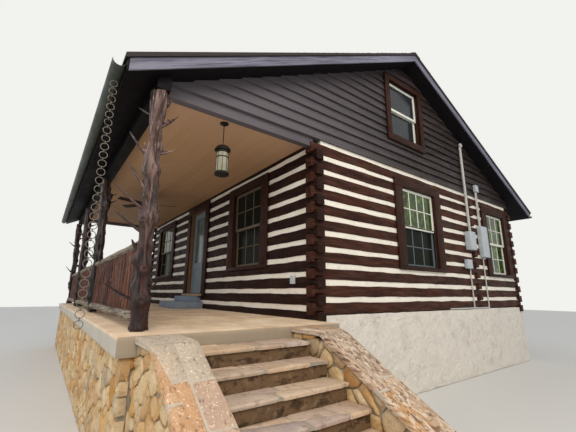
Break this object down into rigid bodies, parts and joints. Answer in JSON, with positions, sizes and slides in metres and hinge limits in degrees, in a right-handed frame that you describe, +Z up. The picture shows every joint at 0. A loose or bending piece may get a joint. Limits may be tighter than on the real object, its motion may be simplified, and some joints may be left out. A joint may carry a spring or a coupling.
{
  "type": "log cabin",
  "caption": "Log cabin with notched chinked logs, board gables, low gable roof, full-length porch on trunk posts, stone base and stone steps with sloping cheek walls.",
  "frame": {"origin": "where the centrelines of the porch wall and of the near gable wall cross, on the underside of the foundation", "axes": "+X along the porch wall towards the near gable and the steps, +Y from the porch towards the rear wall, +Z up"},
  "size_m": [11.635, 10.358, 6.2935],
  "materials": {
    "logs": "weathered stain",
    "chink_mortar": "rough mortar",
    "siding_boards": "weathered stain",
    "roof_structure": "weathered",
    "shingle": "granular",
    "parging": "rough stucco",
    "fieldstone": "rubble stone and mortar",
    "flagstone": "split stone",
    "concrete": "weathered concrete",
    "painted_block": "painted concrete",
    "floor_boards": "plain boards",
    "rake_trim": "weathered",
    "dark_trim": "stained",
    "casing_trim": "stained",
    "sash_paint": "painted",
    "pane": "clear",
    "door_paint": "painted",
    "bare_wood": "clear finish",
    "ceiling_boards": "painted",
    "cedar_post": "peeled trunk",
    "cedar_rail": "rough slabs",
    "gutter_metal": "painted",
    "chain_metal": "weathered",
    "lantern_metal": "satin black",
    "lantern_pane": "seeded",
    "fan_metal": "satin",
    "fan_wood": "satin",
    "box_paint": "grey paint",
    "conduit_plastic": "plastic",
    "knob_metal": "brushed"
  },
  "bodies": {
    "house": {"cheek_caps": "flagstone", "cheek_walls": "fieldstone", "chinking": "chink_mortar", "corner_post": "cedar_post", "cross_log_ends": "logs", "door_casing": "casing_trim", "door_frame": "bare_wood", "door_hinges": "knob_metal", "door_step_lower": "painted_block", "door_step_upper": "painted_block", "electrical_boxes": "box_paint", "end_headers": "dark_trim", "end_railing": "cedar_rail", "fan_motor": "fan_metal", "far_gable_logs": "logs", "far_post": "cedar_post", "far_railing": "cedar_rail", "far_siding": "siding_boards", "fascia_boards": "rake_trim", "floor_deck": "floor_boards", "foundation": "parging", "front_rake_boards": "rake_trim", "front_roof": "roof_structure", "front_shingles": "shingle", "gutters": "gutter_metal", "lantern_frame": "lantern_metal", "lantern_glass": "lantern_pane", "loft_deck": "floor_boards", "middle_railing": "cedar_rail", "near_gable_logs": "logs", "near_railing": "cedar_rail", "near_siding": "siding_boards", "porch_beam": "dark_trim", "porch_ceiling": "ceiling_boards", "porch_slab": "concrete", "porch_wall_logs": "logs", "rain_chain": "chain_metal", "rear_plate": "dark_trim", "rear_rake_boards": "rake_trim", "rear_roof": "roof_structure", "rear_shingles": "shingle", "rear_wall_logs": "logs", "ridge_cap": "shingle", "second_post": "cedar_post", "service_conduits": "conduit_plastic", "step_core": "fieldstone", "step_treads": "flagstone", "stone_base_ends": "fieldstone", "stone_base_front": "fieldstone", "third_post": "cedar_post", "threshold": "bare_wood", "window_casings": "casing_trim", "window_frames": "dark_trim", "window_glass": "pane", "window_sashes": "sash_paint"},
    "door": {"door_leaf": "door_paint", "door_hardware": "knob_metal"},
    "fan": {"fan_blades": "fan_wood"}
  },
  "joints": [
    {"name": "door_swing", "type": "hinge", "parent": "house", "child": "door", "pos_m": [-4.788, 0.0773, 2.5], "axis": [0, 0, 1], "range_deg": [0, 95]},
    {"name": "fan_spin", "type": "hinge", "parent": "house", "child": "fan", "pos_m": [-4.155, -1.36, 3.4527], "axis": [0, 0, 1], "continuous": true}
  ]
}
